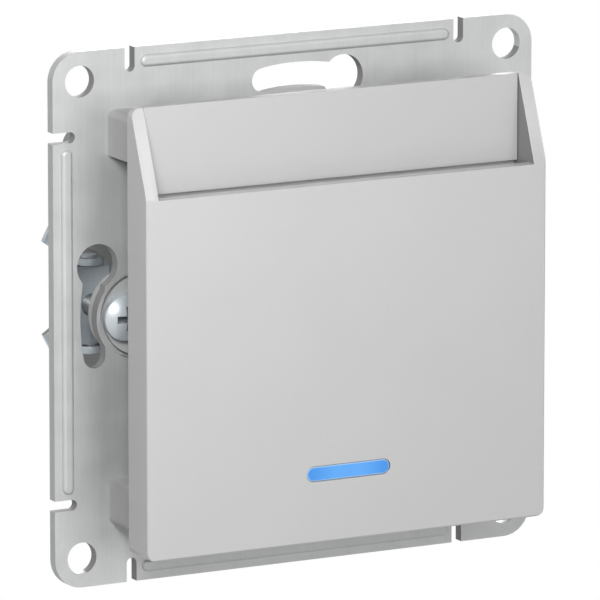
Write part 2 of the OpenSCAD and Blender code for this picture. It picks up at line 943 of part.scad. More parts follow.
module lever_nose() {
    polygon([
        [arm_front, nose_top],
        [nose_y, nose_z + nose_tip],
        [nose_y, nose_z - nose_tip],
        [arm_front, nose_bottom]
    ]);
}

module card_lever() {
    color("whitesmoke")
        difference() {
            union() {
                block([-lever_w / 2, arm_front, nose_bottom], [lever_w / 2, arm_back, pivot_z]);
                axle(pivot_y, pivot_z, lever_w, pivot_r);
                across(nose_w)
                    lever_nose();
                axle(pad_y, plunger_z, pad_w, pad_r);
                block([-pad_w / 2, arm_front, plunger_z - pad_r], [pad_w / 2, pad_y, plunger_z + pad_r]);
                rod(0, spring_z, arm_back + lever_peg_len, lever_peg_len, spring_peg_r);
            }
            axle(pivot_y, pivot_z, lever_w + overcut, pin_r + running_fit);
        }
}

module lever_pin() {
    color("silver")
        axle(pivot_y, pivot_z, 2 * (guide_ear_x + guide_ear_t), pin_r);
}

module spring_seat() {
    color("whitesmoke") {
        rod(0, spring_z, board_y, seat_t, seat_r);
        rod(0, spring_z, spring_end, seat_peg_len, spring_peg_r);
        rod(0, spring_z, board_back, board_t, seat_stub_r - running_fit / 2);
    }
}

// Points along the spring's wire, from the lever to the seat
spring_steps = spring_turns * spring_rings;
spring_start = arm_back + spring_clear + spring_wire / 2;

function spring_at(i) = let (turn = 360 * i / spring_rings) [
    spring_r * cos(turn),
    spring_start + spring_len * i / spring_steps,
    spring_z + spring_r * sin(turn)
];

function unit(v) = v / norm(v);

function spring_way(i) = unit(spring_at(i + spring_step) - spring_at(i - spring_step));

// One ring of the wire, square to its way
function spring_ring(i) = let (
    out = unit([spring_at(i)[0], 0, spring_at(i)[2] - spring_z]),
    side = cross(spring_way(i), out)
) [
    for (k = [0:spring_sides - 1])
        let (a = 360 * k / spring_sides)
            spring_at(i) + spring_wire / 2 * (out * cos(a) + side * sin(a))
];

// Least clear distance between neighbouring curls
spring_gap = min([
    for (i = [0:spring_steps - spring_rings], j = [i + spring_rings / 2:spring_steps])
        norm(spring_at(i) - spring_at(j))
]) - spring_wire;

module lever_spring() {
    points = [for (i = [0:spring_steps]) each spring_ring(i)];
    last = spring_steps * spring_sides;
    sides = [
        for (i = [0:spring_steps - 1], k = [0:spring_sides - 1])
            let (a = i * spring_sides + k, b = i * spring_sides + (k + 1) % spring_sides)
                each [[a, a + spring_sides, b], [b, a + spring_sides, b + spring_sides]]
    ];
    ends = [
        for (k = [1:spring_sides - 2])
            each [[0, k, k + 1], [last, last + k + 1, last + k]]
    ];
    echo(least_gap_in_return_spring = spring_gap);
    color("silver")
        polyhedron(points, concat(sides, ends));
}

// Claws, made for the right side

module claw_screw() {
    color("silver")
        front_screw(claw_axis, 0, plate_front - head_gap, claw_head_r, claw_head_h, claw_screw_r, claw_screw_len);
}

module claw_nut() {
    color("slategray")
        difference() {
            union() {
                block([claw_axis - nut_w / 2, claw_y - nut_t / 2, -nut_half],
                      [claw_axis + nut_w / 2, claw_y + nut_t / 2, nut_half]);
                translate([claw_axis, claw_y, 0])
                    cylinder(h = 2 * (claw_half + trunnion_len), r = trunnion_r, center = true);
            }
            rod(claw_axis, 0, claw_y + nut_t, 2 * nut_t, claw_screw_r + running_fit);
        }
}

// Outline of a claw's arm seen from above, about its pivot
module claw_arm() {
    circle(claw_eye_r);
    polygon([
        [-claw_eye_r, 0],
        [claw_eye_r, 0],
        [claw_outer, claw_web_start],
        [claw_outer, claw_web_end],
        [-claw_tail_outer, claw_reach],
        [-claw_tail_inner, claw_reach],
        [-claw_inner, claw_eye_r]
    ]);
}

// Outline of a prong seen from the front, from the arm outwards
module claw_prong() {
    low = claw_half;
    high = claw_half + claw_sheet + prong_h;
    polygon([
        [-claw_tail_inner, low],
        [-claw_tail_outer, low],
        [prong_out, low + prong_tip],
        [-claw_tail_outer, high],
        [-claw_tail_inner, high]
    ]);
}

module claw() {
    color("slategray")
        translate([claw_axis, claw_y, 0]) {
            difference() {
                for (side = [0, 1])
                    mirror([0, 0, side])
                        translate([0, 0, claw_half])
                            linear_extrude(claw_sheet)
                                claw_arm();
                cylinder(h = 4 * claw_half, r = trunnion_r + running_fit, center = true);
            }
            block([claw_outer - claw_sheet, claw_web_start, -claw_half - claw_sheet],
                  [claw_outer, claw_web_end, claw_half + claw_sheet]);
            upright(claw_reach, claw_sheet)
                for (side = [0, 1])
                    mirror([0, side])
                        claw_prong();
        }
}

// Terminals

function terminal_x(i) = terminal_pitch * (i - (terminal_count - 1) / 2);

module busbar(i) {
    color("goldenrod")
        translate([terminal_x(i), 0, 0]) {
            block([-bus_w / 2, board_back, bus_under], [bus_w / 2, bus_end, bus_top]);
            block([-bus_w / 2, board_back, bus_under],
                  [bus_w / 2, board_back + bus_t, bus_under + bus_foot_h]);
        }
}

module terminal_screw(i) {
    color("silver")
        translate([terminal_x(i), terminal_y, terminal_head_top]) {
            cylinder(h = bus_under - running_fit - terminal_head_top, r = terminal_screw_r);
            rotate([180, 0, 0])
                screw_head(terminal_head_r, terminal_head_h);
        }
}

module terminal_cage(i) {
    inside = cage_w / 2 - cage_wall;
    base_top = cage_rest + cage_base_t;
    color("goldenrod")
        translate([terminal_x(i), terminal_y, 0])
            difference() {
                block([-cage_w / 2, -cage_d / 2, cage_rest],
                      [cage_w / 2, cage_d / 2, cage_inside_top + cage_roof_t]);
                block([-inside, -cage_d / 2 - overcut, base_top],
                      [inside, cage_d / 2 + overcut, cage_inside_top]);
                translate([0, 0, cage_rest - overcut])
                    cylinder(h = cage_base_t + 2 * overcut, r = terminal_screw_r + running_fit);
            }
}

mounting_plate();
housing();
rear_cover();
rear_cover_screws();
carrier_frame();
carrier_screws();
card_guide();
front_cover();
light_guide();
lamp();
circuit_board();
relay();
smoothing_capacitor();
film_capacitor();
resistors();
switch_body();
switch_plunger();
card_lever();
lever_pin();
lever_spring();
spring_seat();
claw_screw();  // right_claw_screw
mirror([1, 0, 0]) claw_screw();  // left_claw_screw
claw_nut();  // right_claw_nut
mirror([1, 0, 0]) claw_nut();  // left_claw_nut
claw();  // right_claw
mirror([1, 0, 0]) claw();  // left_claw
for (i = [0:terminal_count - 1]) {
    busbar(i);
    terminal_screw(i);
    terminal_cage(i);
}
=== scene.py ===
"""Looks of a flush-mounted key card switch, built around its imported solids."""

import json
import logging
import math
from dataclasses import dataclass
from enum import Enum
from typing import Callable, Optional, Union

import bmesh
import bpy
from mathutils import Matrix, Vector


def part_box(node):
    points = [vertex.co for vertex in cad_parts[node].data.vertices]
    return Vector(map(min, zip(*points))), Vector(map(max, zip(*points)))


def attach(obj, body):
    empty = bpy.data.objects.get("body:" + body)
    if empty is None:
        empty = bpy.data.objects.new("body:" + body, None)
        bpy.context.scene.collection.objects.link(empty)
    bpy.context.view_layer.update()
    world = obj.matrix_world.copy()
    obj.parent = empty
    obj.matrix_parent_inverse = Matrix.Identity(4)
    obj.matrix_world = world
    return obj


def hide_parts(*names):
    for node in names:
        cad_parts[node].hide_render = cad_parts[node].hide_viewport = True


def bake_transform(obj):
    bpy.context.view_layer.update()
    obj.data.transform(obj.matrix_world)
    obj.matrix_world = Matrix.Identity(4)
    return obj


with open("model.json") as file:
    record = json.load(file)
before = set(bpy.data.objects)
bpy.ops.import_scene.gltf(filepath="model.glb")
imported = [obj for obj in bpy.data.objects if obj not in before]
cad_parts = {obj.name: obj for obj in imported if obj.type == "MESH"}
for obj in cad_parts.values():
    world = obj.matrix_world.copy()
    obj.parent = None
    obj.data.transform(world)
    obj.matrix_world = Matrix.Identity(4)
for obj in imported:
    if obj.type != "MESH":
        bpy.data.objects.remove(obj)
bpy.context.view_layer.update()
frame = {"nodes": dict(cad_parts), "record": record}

Colour = tuple[float, float, float, float]
EdgeTest = Callable[[bmesh.types.BMEdge], bool]
FaceTest = Callable[[bmesh.types.BMFace], bool]
Number = Union[float, "Term"]

LOG = logging.getLogger("key_card_switch")
# Mark for painted shade on hole walls and claw arms, partly the darker cut steel.
STEEL_SHADE_MARK = "cut_steel_and_shade"
# Mark for painted shade on the cover's inner sides.
INSIDE_SHADE_MARK = "shaded_inside"
# Mark for painted shade on screw threads and head recesses.
THREAD_SHADE_MARK = "thread_shaded"

# Metres in a millimetre, and the millimetres between points that become one.
MM = 0.001
MERGE = 0.002

# Degrees: faces joined as flat, edges rounded off and edges shaded as sharp.
FLAT_ANGLE = 0.6
SHARP_ANGLE = 28.0
SHADE_ANGLE = 40.0

# Faces across a rounded edge and round a rod.
SEGMENTS = 2
FINE_SEGMENTS = 3
ROD_SIDES = 32

# The curve from display levels to linear ones.
FULL_LEVEL = 255
CURVE_START = 0.04045
CURVE_SLOPE = 12.92
CURVE_SHIFT = 0.055
CURVE_POWER = 2.4

WHITE: Colour = (1.0, 1.0, 1.0, 1.0)
BLACK: Colour = (0.0, 0.0, 0.0, 1.0)
PATTERN_MEAN = 0.5
PATTERN_ROUGHNESS = 0.55
HALF_PITCH = 0.5
RELIEF_STRENGTH = 0.5


def paint(red: int, green: int, blue: int) -> Colour:
    """Turn a display colour into the linear colour that a shader takes.

    Args:
        red: Red from 0 to 255.
        green: Green from 0 to 255.
        blue: Blue from 0 to 255.

    Returns:
        The linear colour with full opacity.
    """
    linear = []
    for level in (red / FULL_LEVEL, green / FULL_LEVEL, blue / FULL_LEVEL):
        if level <= CURVE_START:
            linear.append(level / CURVE_SLOPE)
        else:
            linear.append(((level + CURVE_SHIFT) / (1 + CURVE_SHIFT)) ** CURVE_POWER)
    return (linear[0], linear[1], linear[2], 1.0)


def lighter(colour: Colour, share: float) -> Colour:
    """Add a share of a colour's brightness to it, or take it away if it is negative."""
    red, green, blue = (min(1.0, level * (1 + share)) for level in colour[:3])
    return (red, green, blue, 1.0)


class Axis(Enum):
    """Directions of the part's frame."""

    RIGHT = 0
    INTO_WALL = 1
    UP = 2

    @property
    def vector(self) -> Vector:
        """The direction as a unit vector."""
        return Vector([1.0 if index == self.value else 0.0 for index in range(3)])


class Side(Enum):
    """The two sides that have a claw."""

    LEFT = "left"
    RIGHT = "right"


@dataclass(frozen=True)
class Grain:
    """A soft random pattern, and what it does to a finish.

    The size is in millimetres. The share weighs the pattern in the colour, and rough weighs it
    in the roughness. It can be stretched along the axis in run.
    """

    size: float
    share: float = 0.0
    rough: float = 0.0
    detail: float = 2.0
    run: Optional[Axis] = None
    stretch: float = 1.0


class Term:
    """A node's output that takes part in Python expressions."""

    def __init__(self, sheet: "NodeSheet", socket: bpy.types.NodeSocket) -> None:
        """Keep the node sheet and the output that this term stands for."""
        self.sheet = sheet
        self.socket = socket

    def maths(self, operation: str, first: Number, second: Number = 0.0) -> "Term":
        """Add a Math node and return its result."""
        return self.sheet.add("ShaderNodeMath", {"operation": operation}, {0: first, 1: second})

    def __add__(self, other: Number) -> "Term":
        """Add a value to this term."""
        return self.maths("ADD", self, other)

    def __radd__(self, other: Number) -> "Term":
        """Add this term to a value."""
        return self.maths("ADD", other, self)

    def __sub__(self, other: Number) -> "Term":
        """Take a value from this term."""
        return self.maths("SUBTRACT", self, other)

    def __rsub__(self, other: Number) -> "Term":
        """Take this term from a value."""
        return self.maths("SUBTRACT", other, self)

    def __mul__(self, other: Number) -> "Term":
        """Multiply this term by a value."""
        return self.maths("MULTIPLY", self, other)

    def __truediv__(self, other: Number) -> "Term":
        """Divide this term by a value."""
        return self.maths("DIVIDE", self, other)

    def __pow__(self, other: Number) -> "Term":
        """Raise this term to a power."""
        return self.maths("POWER", self, other)

    def __abs__(self) -> "Term":
        """Drop this term's sign."""
        return self.maths("ABSOLUTE", self)

    def at_least(self, low: Number) -> "Term":
        """Return the greater of this term and a value."""
        return self.maths("MAXIMUM", self, low)

    def at_most(self, high: Number) -> "Term":
        """Return the lesser of this term and a value."""
        return self.maths("MINIMUM", self, high)

    def folded(self, length: Number) -> "Term":
        """Return this term as it runs to and fro between zero and a length."""
        return self.maths("PINGPONG", self, length)

    def swing(self, amount: float) -> "Term":
        """Return a pattern's distance from its mean, times an amount."""
        return (self - PATTERN_MEAN) * amount

    def step(self, start: float, end: float) -> "Term":
        """Rise smoothly from zero to one as this term goes from the start to the end.

        Args:
            start: Value at which the result is zero.
            end: Value at which the result is one.

        Returns:
            The smooth step of this term.
        """
        return self.sheet.add(
            "ShaderNodeMapRange",
            {"interpolation_type": "SMOOTHSTEP"},
            {"Value": self, "From Min": start, "From Max": end, "To Min": 0.0, "To Max": 1.0},
        )


class NodeSheet:
    """The nodes of one material or world."""

    def __init__(self, tree: bpy.types.NodeTree) -> None:
        """Keep the tree to fill, and empty it."""
        self.tree = tree
        tree.nodes.clear()

    def add(
        self,
        kind: str,
        settings: Optional[dict] = None,
        sockets: Optional[dict] = None,
        output: Union[int, str] = 0,
    ) -> Term:
        """Add one node.

        Args:
            kind: The node's type.
            settings: Properties that are set before the sockets.
            sockets: Values or terms for the inputs, by name or number.
            output: The output to return.

        Returns:
            The chosen output as a term.
        """
        node = self.tree.nodes.new(kind)
        for name, value in (settings or {}).items():
            setattr(node, name, value)
        for key, value in (sockets or {}).items():
            if isinstance(value, Term):
                self.tree.links.new(value.socket, node.inputs[key])
            else:
                node.inputs[key].default_value = value
        return Term(self, node.outputs[output]) if node.outputs else Term(self, None)

    def place(self) -> Term:
        """Return the point on the piece, in metres."""
        return self.add("ShaderNodeTexCoord", output="Object")

    def along(self, axis: Axis) -> Term:
        """Return the point's distance along one axis, in millimetres."""
        return self.add("ShaderNodeSeparateXYZ", {}, {0: self.place()}, axis.value) / MM

    def noise(self, grain: Grain) -> Term:
        """Add a soft random pattern.

        Args:
            grain: The pattern's measures.

        Returns:
            The pattern, between zero and one, as a term.
        """
        scale = Vector((1.0, 1.0, 1.0))
        if grain.run is not None:
            scale[grain.run.value] = 1 / grain.stretch
        sockets = {
            "Vector": self.add("ShaderNodeMapping", {}, {"Vector": self.place(), "Scale": scale}),
            "Scale": 1 / (grain.size * MM),
            "Detail": grain.detail,
            "Roughness": PATTERN_ROUGHNESS,
        }
        return self.add("ShaderNodeTexNoise", {}, sockets)

    def marked(self, name: str) -> Term:
        """Return one on the faces that carry a mark, and zero elsewhere."""
        return self.add("ShaderNodeAttribute", {"attribute_name": name}, output="Fac")

    def cells(self, size: float) -> Term:
        """Return the distance from the nearest crystal's middle, for a size in millimetres."""
        sockets = {"Vector": self.place(), "Scale": 1 / (size * MM)}
        return self.add("ShaderNodeTexVoronoi", {"feature": "F1"}, sockets, "Distance")

    def stripes(self, axis: Axis, pitch: float, start: float, end: float) -> Term:
        """Return even stripes, which rise from a start to an end in shares of the pitch."""
        return (self.along(axis) / pitch).folded(HALF_PITCH).step(start, end)

    def blend(self, share: Number, low: Union[Colour, Term], high: Union[Colour, Term]) -> Term:
        """Return the first colour mixed with a share of the second."""
        settings = {"data_type": "RGBA", "clamp_factor": True}
        return self.add("ShaderNodeMix", settings, {0: share, 6: low, 7: high}, 2)

    def tinted(self, share: Term, colour: Colour, spread: float) -> Term:
        """Return a colour that a pattern makes darker or lighter by up to a spread."""
        return self.blend(share, lighter(colour, -spread), lighter(colour, spread))

    def relief(self, height: Term, depth: float, strength: float = RELIEF_STRENGTH) -> Term:
        """Return the surface direction that a height gives over a depth in millimetres."""
        sockets = {"Height": height, "Distance": depth * MM, "Strength": strength}
        return self.add("ShaderNodeBump", {}, sockets)

    def finish(self, sockets: dict) -> None:
        """Add the surface shader with its inputs, and the output."""
        shader = self.add("ShaderNodeBsdfPrincipled", {}, sockets)
        self.add("ShaderNodeOutputMaterial", {}, {"Surface": shader})


@dataclass(frozen=True)
class Finish:
    """What all finishes have in common. Lengths are in millimetres."""

    name: str
    colour: Colour
    roughness: float

    def material(self) -> bpy.types.Material:
        """Return the finish's material, made the first time that it is asked for.

        Returns:
            The material with its nodes.
        """
        found = bpy.data.materials.get(self.name)
        if found is None:
            found = bpy.data.materials.new(self.name)
            found.use_nodes = True
            self.draw(NodeSheet(found.node_tree))
        return found

    def weave(self, sheet: NodeSheet, *grains: Grain) -> tuple[list[Term], Term, Term]:
        """Add patterns and sum up what they do.

        Args:
            sheet: The sheet to add them to.
            grains: The patterns to add.

        Returns:
            The patterns, their joint share in the colour and the varied roughness.
        """
        patterns, share, rough = [], PATTERN_MEAN, self.roughness
        for grain in grains:
            pattern = sheet.noise(grain)
            share = share + pattern.swing(grain.share)
            rough = rough + pattern.swing(grain.rough)
            patterns.append(pattern)
        return patterns, share, rough

    def draw(self, sheet: NodeSheet) -> None:
        """Fill the material's nodes, on a sheet that is still empty."""
        raise NotImplementedError


@dataclass(frozen=True)
class SatinLacquer(Finish):
    """A silver lacquer with fine flakes."""

    flake: Grain = Grain(0.16, 0.9, 0.08, 1.0)
    cloud: Grain = Grain(14.0, 0.6, 0.06)
    peel: Grain = Grain(0.64)
    peel_height: float = 0.6
    depth: float = 0.006
    strength: float = 0.6
    shimmer: float = 0.035
    metallic: float = 0.25
    # Painted shade: a dark grey on the cover's inner sides, where little light falls.
    shaded_inside: Colour = (0.27, 0.27, 0.27, 1.0)

    def draw(self, sheet: NodeSheet) -> None:
        """Fill the nodes with flakes, faint clouds, a fine orange peel and painted shade on the
        inner sides.

        Args:
            sheet: The empty sheet to fill.
        """
        (flakes, _), share, rough = self.weave(sheet, self.flake, self.cloud)
        coat = sheet.tinted(share, self.colour, self.shimmer)
        height = sheet.noise(self.peel) * self.peel_height + flakes * (1 - self.peel_height)
        sheet.finish(
            {
                "Base Color": sheet.blend(sheet.marked(INSIDE_SHADE_MARK), coat, self.shaded_inside),
                "Metallic": self.metallic,
                "Roughness": rough,
                "Normal": sheet.relief(height, self.depth, self.strength),
            }
        )


@dataclass(frozen=True)
class MouldedPlastic(Finish):
    """A moulded plastic with a fine eroded grain."""

    grain: float = 0.3
    depth: float = 0.02
    mottle: float = 0.04
    grain_share: float = 0.7
    grain_rough: float = 0.1
    flow: Grain = Grain(11.0, 0.9, 0.08, 3.0, Axis.UP, 2.5)

    def draw(self, sheet: NodeSheet) -> None:
        """Fill the nodes with grain, flow clouds and a change of gloss.

        Args:
            sheet: The empty sheet to fill.
        """
        fine = Grain(self.grain, self.grain_share, self.grain_rough)
        (grain, _), share, rough = self.weave(sheet, fine, self.flow)
        sheet.finish(
            {
                "Base Color": sheet.tinted(share, self.colour, self.mottle),
                "Roughness": rough,
                "Normal": sheet.relief(grain, self.depth),
            }
        )


@dataclass(frozen=True)
class RolledZinc(Finish):
    """A zinc-plated steel sheet with its rolling grain and crystals."""

    run: Axis = Axis.UP
    crystal: float = 2.6
    spread: float = 0.1
    crystal_mean: float = 0.4
    crystal_share: float = 0.35
    line: float = 0.13
    line_share: float = 0.7
    line_rough: float = 0.1
    line_stretch: float = 60.0
    line_height: float = 0.7
    patch: Grain = Grain(6.0, 0.8, 0.16, 3.0)
    depth: float = 0.008
    metallic: float = 0.3
    # Painted shade on hole walls and the claw's arms, partly the darker cut steel.
    cut_steel_and_shade: Colour = (0.32, 0.32, 0.32, 1.0)
    shear_rough: float = 0.15

    def draw(self, sheet: NodeSheet) -> None:
        """Fill the nodes with rolling lines, crystals, dull patches, and darker walls that are
        partly cut steel and partly painted shade.

        Args:
            sheet: The empty sheet to fill.
        """
        rolling = Grain(
            self.line, self.line_share, self.line_rough, run=self.run, stretch=self.line_stretch
        )
        (lines, patches), share, rough = self.weave(sheet, rolling, self.patch)
        crystals = (sheet.cells(self.crystal) - self.crystal_mean) * self.crystal_share
        rolled = sheet.tinted(share + crystals, self.colour, self.spread)
        # Painted shade on the marked walls and faces, partly the darker cut steel.
        steel_shade = sheet.marked(STEEL_SHADE_MARK)
        height = lines * self.line_height + patches * (1 - self.line_height)
        sheet.finish(
            {
                "Base Color": sheet.blend(steel_shade, rolled, self.cut_steel_and_shade),
                "Metallic": self.metallic,
                "Roughness": rough + steel_shade * self.shear_rough,
                "Normal": sheet.relief(height, self.depth),
            }
        )


@dataclass(frozen=True)
class BrightMetal(Finish):
    """A plated or uncoated metal with tumbling marks and a little tarnish."""

    tarnish: Colour
    amount: float = 0.25
    scuff: float = 0.35
    metallic: float = 1.0
    scuff_rough: float = 0.14
    scuff_detail: float = 3.0
    patch: Grain = Grain(2.2, detail=3.0)
    patch_start: float = 0.5
    patch_end: float = 0.8
    dull_rough: float = 0.3
    depth: float = 0.008
    # Painted shade: a near-black on screw threads and head recesses.
    thread_shade_colour: Colour = (0.06, 0.06, 0.06, 1.0)
    thread_shade_share: float = 0.75

    def draw(self, sheet: NodeSheet) -> None:
        """Fill the nodes with tarnish in patches, fine scuffs and painted shade on a screw's
        thread and recess.

        Args:
            sheet: The empty sheet to fill.
        """
        patches = sheet.noise(self.patch).step(self.patch_start, self.patch_end)
        scuffs = sheet.noise(Grain(self.scuff, detail=self.scuff_detail))
        marks = (scuffs - PATTERN_MEAN).at_least(0.0)
        dulled = patches * self.amount + marks * self.amount
        metal = sheet.blend(dulled, self.colour, self.tarnish)
        # Painted shade on the marked thread and recess.
        thread_shaded = sheet.marked(THREAD_SHADE_MARK) * self.thread_shade_share
        rough = self.roughness + scuffs.swing(self.scuff_rough) + dulled * self.dull_rough
        sheet.finish(
            {
                "Base Color": sheet.blend(thread_shaded, metal, self.thread_shade_colour),
                "Metallic": self.metallic,
                "Roughness": rough,
                "Normal": sheet.relief(scuffs, self.depth),
            }
        )


@dataclass(frozen=True)
class LitWindow(Finish):
    """A lit lens that glows most in its middle, with a painted highlight as a pale rim and a
    painted shadow of the gap at its edge.
    """

    # Painted highlight: the pale rim stands in for light on the lens's rounded edge.
    rim: Colour = (0.42, 0.62, 0.86, 1.0)
    ends: Colour = (0.05, 0.3, 0.85, 1.0)
    # Painted shadow: the dark band stands in for the shaded gap between lens and cover.
    gap_shade: Colour = (0.16, 0.17, 0.18, 1.0)
    length: float = 12.4
    height: float = 2.1
    middle: float = -20.25
    rim_width: float = 0.3
    seam_width: float = 0.12
    glow: float = 0.62
    fall_start: float = 0.1
    fall_share: float = 0.85
    streak: Grain = Grain(1.2, 0.2, 0.08, run=Axis.UP, stretch=4.0)
    refraction: float = 1.49

    def draw(self, sheet: NodeSheet) -> None:
        """Fill the nodes with the glow, its fall to the ends, a painted highlight along the edge
        and a painted shadow of the gap.

        Args:
            sheet: The empty sheet to fill.
        """
        radius = self.height / 2
        along = abs(sheet.along(Axis.RIGHT))
        across = sheet.along(Axis.UP) - self.middle
        past = (along - (self.length / 2 - radius)).at_least(0.0)
        reach = (past * past + across * across) ** 0.5
        edge = reach.step(radius - self.rim_width, radius - self.seam_width)
        outside = reach.step(radius - self.seam_width, radius - self.seam_width / 2)
        fall = along.step(self.length * self.fall_start, self.length / 2)
        streaks = sheet.noise(self.streak)
        share = fall * self.fall_share + streaks.swing(self.streak.share)
        lit = sheet.blend(share, self.colour, self.ends)
        # The pale rim is a painted highlight and the dark band outside it a painted shadow of the
        # gap.
        shown = sheet.blend(outside, sheet.blend(edge, lit, self.rim), self.gap_shade)
        sheet.finish(
            {
                "Base Color": sheet.blend(self.glow, shown, BLACK),
                "Roughness": self.roughness + streaks.swing(self.streak.rough),
                "Emission Color": shown,
                "Emission Strength": self.glow,
                "IOR": self.refraction,
            }
        )


@dataclass(frozen=True)
class ClearResin(Finish):
    """The clear tinted resin of a lamp."""

    glow: float = 0.3
    clearness: float = 0.6
    tip: float = -7.0
    foot: float = -3.0
    foot_share: float = 0.7
    darkening: float = 0.5
    haze: Grain = Grain(0.9, 0.2, 0.06)

    def draw(self, sheet: NodeSheet) -> None:
        """Fill the nodes with a tinted clear body that is brighter near its tip.

        Args:
            sheet: The empty sheet to fill.
        """
        haze = sheet.noise(self.haze)
        depth = sheet.along(Axis.INTO_WALL).step(self.tip, self.foot)
        share = depth * self.foot_share + haze * self.haze.share
        shown = sheet.blend(share, self.colour, lighter(self.colour, -self.darkening))
        sheet.finish(
            {
                "Base Color": shown,
                "Roughness": self.roughness + haze * self.haze.rough,
                "Transmission Weight": self.clearness,
                "Emission Color": shown,
                "Emission Strength": self.glow,
            }
        )


@dataclass(frozen=True)
class SolderMask(Finish):
    """A circuit board with traces under its mask."""

    trace: Colour = (0.06, 0.3, 0.1, 1.0)
    pitch: float = 2.54
    trace_start: float = 0.3
    trace_end: float = 0.36
    area: Grain = Grain(9.0, detail=1.0)
    area_start: float = 0.46
    area_end: float = 0.5
    gloss: Grain = Grain(3.0, rough=0.15)
    depth: float = 0.03
    strength: float = 0.6

    def draw(self, sheet: NodeSheet) -> None:
        """Fill the nodes with broken traces and a glossy mask.

        Args:
            sheet: The empty sheet to fill.
        """
        rows = sheet.stripes(Axis.UP, self.pitch, self.trace_start, self.trace_end)
        columns = sheet.stripes(Axis.RIGHT, self.pitch, self.trace_start, self.trace_end)
        areas = sheet.noise(self.area).step(self.area_start, self.area_end)
        copper = rows * areas + columns * (1 - areas)
        gloss = sheet.noise(self.gloss)
        sheet.finish(
            {
                "Base Color": sheet.blend(copper, self.colour, self.trace),
                "Roughness": self.roughness + gloss.swing(self.gloss.rough),
                "Normal": sheet.relief(copper, self.depth, self.strength),
            }
        )


@dataclass(frozen=True)
class StripedSleeve(Finish):
    """A shrunk sleeve with a plain stripe down one side."""

    stripe: Colour = (0.5, 0.5, 0.48, 1.0)
    stripe_at: float = 11.5
    stripe_half: float = 1.1
    stripe_blur: float = 0.15
    stripe_share: float = 0.95
    top_start: float = 6.4
    top_end: float = 6.6
    ripple: Grain = Grain(0.8, 0.06, 0.15, run=Axis.INTO_WALL, stretch=6.0)
    depth: float = 0.04

    def draw(self, sheet: NodeSheet) -> None:
        """Fill the nodes with the stripe and the sleeve's ripples.

        Args:
            sheet: The empty sheet to fill.
        """
        off = abs(sheet.along(Axis.RIGHT) - self.stripe_at)
        below = 1 - sheet.along(Axis.UP).step(self.top_start, self.top_end)
        band = (1 - off.step(self.stripe_half, self.stripe_half + self.stripe_blur)) * below
        ripple = sheet.noise(self.ripple)
        share = band * self.stripe_share + ripple.swing(self.ripple.share)
        sheet.finish(
            {
                "Base Color": sheet.blend(share, self.colour, self.stripe),
                "Roughness": self.roughness + ripple.swing(self.ripple.rough),
                "Normal": sheet.relief(ripple, self.depth),
            }
        )


@dataclass(frozen=True)
class BandedCoat(Finish):
    """A resistor's coat with plain colour bands."""

    band: Colour = (0.12, 0.03, 0.01, 1.0)
    pitch: float = 1.5
    band_start: float = 0.34
    band_end: float = 0.38
    band_share: float = 0.9
    coat: Grain = Grain(0.5, 0.1, 0.15)
    depth: float = 0.03

    def draw(self, sheet: NodeSheet) -> None:
        """Fill the nodes with bands round the body.

        Args:
            sheet: The empty sheet to fill.
        """
        bands = sheet.stripes(Axis.RIGHT, self.pitch, self.band_start, self.band_end)
        coat = sheet.noise(self.coat)
        share = bands * self.band_share + coat.swing(self.coat.share)
        sheet.finish(
            {
                "Base Color": sheet.blend(share, self.colour, self.band),
                "Roughness": self.roughness + coat.swing(self.coat.rough),
                "Normal": sheet.relief(coat, self.depth),
            }
        )


COVER_LACQUER = SatinLacquer("satin_silver_lacquer", paint(210, 210, 210), 0.42)
GUIDE_PLASTIC = SatinLacquer("guide_silver_lacquer", paint(205, 205, 205), 0.46)
CARRIER_PLASTIC = MouldedPlastic("carrier_grey_plastic", paint(184, 184, 184), 0.5)
HOUSING_PLASTIC = MouldedPlastic("housing_grey_plastic", paint(198, 199, 199), 0.5, 0.4, 0.03)
WHITE_PLASTIC = MouldedPlastic("lever_white_plastic", paint(226, 225, 219), 0.42, 0.25, 0.012)
BLACK_PLASTIC = MouldedPlastic("switch_black_plastic", paint(38, 38, 40), 0.45, 0.25, mottle=0.12)
RED_PLASTIC = MouldedPlastic("plunger_red_plastic", paint(178, 38, 30), 0.38, 0.2, 0.01, 0.08)
RELAY_PLASTIC = MouldedPlastic("relay_case_plastic", paint(40, 58, 92), 0.4, 0.35, mottle=0.1)
FILM_PLASTIC = MouldedPlastic("film_case_plastic", paint(196, 168, 60), 0.42, 0.35, mottle=0.08)
PLATE_ZINC = RolledZinc("plate_rolled_zinc", paint(204, 205, 205), 0.5)
CLAW_ZINC = RolledZinc("claw_rolled_zinc", paint(218, 228, 234), 0.42, Axis.INTO_WALL, 1.8, 0.12)
NUT_ZINC = RolledZinc("nut_plated_steel", paint(218, 228, 234), 0.42, crystal=1.4)
SCREW_ZINC = BrightMetal("screw_plated_steel", paint(216, 226, 232), 0.24, paint(140, 146, 150))
CLAW_SCREW_ZINC = BrightMetal(
    "claw_screw_plated_steel", paint(219, 227, 232), 0.34, paint(160, 166, 170), 0.2, metallic=0.3
)
TERMINAL_BRASS = BrightMetal(
    "terminal_brass", paint(216, 178, 96), 0.28, paint(150, 110, 56), 0.4
)
SPRING_STEEL = BrightMetal(
    "spring_drawn_steel", paint(176, 178, 180), 0.26, paint(96, 92, 86), 0.3, 0.2
)
PIN_STEEL = BrightMetal(
    "pin_ground_steel", paint(188, 190, 192), 0.22, paint(110, 108, 104), 0.2, 0.15
)
WINDOW_BLUE = LitWindow("lit_window_blue", paint(98, 176, 255), 0.25)
LAMP_RESIN = ClearResin("lamp_clear_resin", paint(150, 200, 255), 0.08)
BOARD_MASK = SolderMask("board_green_mask", paint(18, 92, 48), 0.34)
CAN_SLEEVE = StripedSleeve("can_black_sleeve", paint(34, 36, 44), 0.36)
RESISTOR_COAT = BandedCoat("resistor_beige_coat", paint(206, 178, 132), 0.42)


